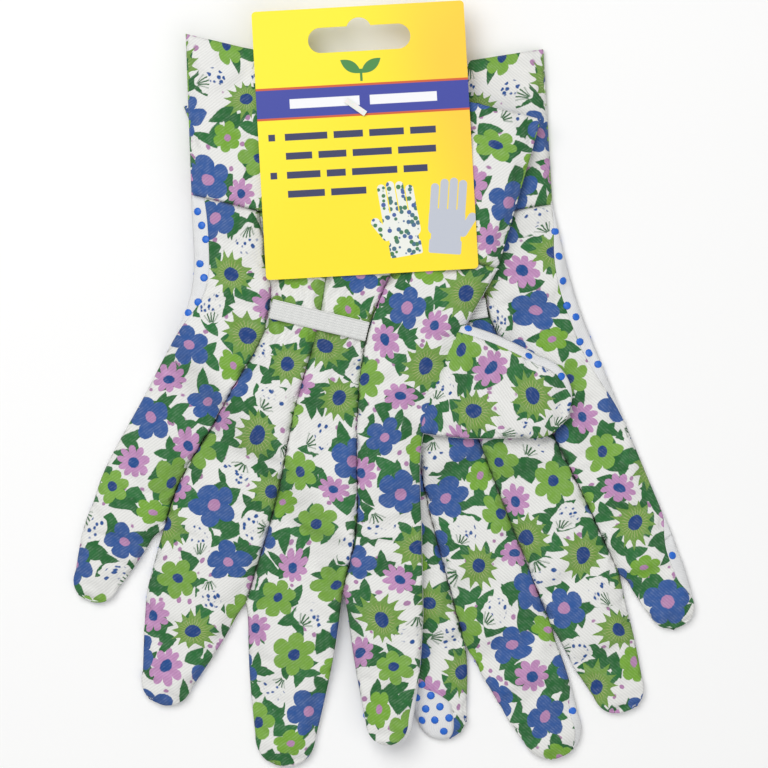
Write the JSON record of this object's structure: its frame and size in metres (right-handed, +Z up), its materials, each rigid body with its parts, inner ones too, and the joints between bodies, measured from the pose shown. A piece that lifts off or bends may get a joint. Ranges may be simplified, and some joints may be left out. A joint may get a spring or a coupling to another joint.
{
  "type": "pair of gardening gloves",
  "caption": "Cotton gardening gloves with printed backs and dotted palms, crossed at the cuffs and held to a header card by a plastic tag pin.",
  "frame": {"origin": "middle of the pair's outline, on the surface that it lies on", "axes": "+Z up out of the backs of the gloves, +Y from the fingertips towards the cuffs and the hang slot, +X to the right seen from above"},
  "size_m": [0.2232, 0.2742, 0.0155],
  "materials": {
    "floral_drill": "printed cotton twill",
    "dotted_cotton": "plain cotton with raised blue dots",
    "elastic_white": "ribbed woven elastic",
    "card_yellow": "coated printed board",
    "pin_plastic": "translucent white plastic"
  },
  "bodies": {
    "left_glove": {"left_cuff_back": "floral_drill", "left_cuff_palm": "floral_drill", "left_palm": "dotted_cotton", "left_elastic": "elastic_white", "left_strip_little": "floral_drill", "left_strip_ring": "floral_drill", "left_strip_middle": "floral_drill", "left_strip_index": "floral_drill", "left_stall_index": "floral_drill", "left_front_index": "dotted_cotton", "left_thumb_back": "floral_drill", "left_thumb_front": "dotted_cotton", "tag_pin": "pin_plastic"},
    "right_glove": {"right_cuff_back": "floral_drill", "right_cuff_palm": "floral_drill", "right_palm": "dotted_cotton", "right_elastic": "elastic_white", "right_strip_little": "floral_drill", "right_strip_ring": "floral_drill", "right_strip_middle": "floral_drill", "right_strip_index": "floral_drill"},
    "card": {"header_card": "card_yellow"},
    "right_little": {"right_stall_little": "floral_drill", "right_front_little": "dotted_cotton"},
    "right_ring": {"right_stall_ring": "floral_drill", "right_front_ring": "dotted_cotton"},
    "right_middle": {"right_stall_middle": "floral_drill", "right_front_middle": "dotted_cotton"},
    "right_index": {"right_stall_index": "floral_drill", "right_front_index": "dotted_cotton"},
    "left_little": {"left_stall_little": "floral_drill", "left_front_little": "dotted_cotton"},
    "left_ring": {"left_stall_ring": "floral_drill", "left_front_ring": "dotted_cotton"},
    "left_middle": {"left_stall_middle": "floral_drill", "left_front_middle": "dotted_cotton"},
    "right_thumb": {"right_thumb_back": "floral_drill", "right_thumb_front": "dotted_cotton"}
  },
  "joints": [
    {"name": "glove_fan", "type": "hinge", "parent": "left_glove", "child": "right_glove", "pos_m": [-0.0074, 0.09713, 0.0074], "axis": [0, 0, -1], "range_deg": [0, 10]},
    {"name": "card_swivel", "type": "hinge", "parent": "left_glove", "child": "card", "pos_m": [-0.0074, 0.09713, 0.0137], "axis": [0, 0, 1], "range_deg": [-15, 15]},
    {"name": "right_little_fold", "type": "hinge", "parent": "right_glove", "child": "right_little", "pos_m": [-0.0948, -0.05153, 0.006], "axis": [-0.9724, 0.2334, 0], "range_deg": [0, 60]},
    {"name": "right_ring_fold", "type": "hinge", "parent": "right_glove", "child": "right_ring", "pos_m": [-0.0686, -0.07839, 0.006], "axis": [-0.9724, 0.2334, 0], "range_deg": [0, 60]},
    {"name": "right_middle_fold", "type": "hinge", "parent": "right_glove", "child": "right_middle", "pos_m": [-0.03299, -0.08643, 0.00728], "axis": [-0.9761, 0.2023, -0.0794], "range_deg": [0, 60]},
    {"name": "right_index_fold", "type": "hinge", "parent": "right_glove", "child": "right_index", "pos_m": [0.00033, -0.08363, 0.0142], "axis": [-0.9676, 0.2323, -0.0984], "range_deg": [0, 60]},
    {"name": "left_little_fold", "type": "hinge", "parent": "left_glove", "child": "left_little", "pos_m": [0.09658, -0.06536, 0.006], "axis": [-0.8445, -0.5356, 0], "range_deg": [0, 60]},
    {"name": "left_ring_fold", "type": "hinge", "parent": "left_glove", "child": "left_ring", "pos_m": [0.07464, -0.08504, 0.006], "axis": [-0.893, -0.45, 0], "range_deg": [0, 60]},
    {"name": "left_middle_fold", "type": "hinge", "parent": "left_glove", "child": "left_middle", "pos_m": [0.04686, -0.09501, 0.006], "axis": [-0.9663, -0.2572, 0], "range_deg": [0, 60]},
    {"name": "right_thumb_fold", "type": "hinge", "parent": "right_glove", "child": "right_thumb", "pos_m": [0.02228, 0.0016, 0.0134], "axis": [-0.3686, -0.9296, 0], "range_deg": [0, 60]}
  ]
}
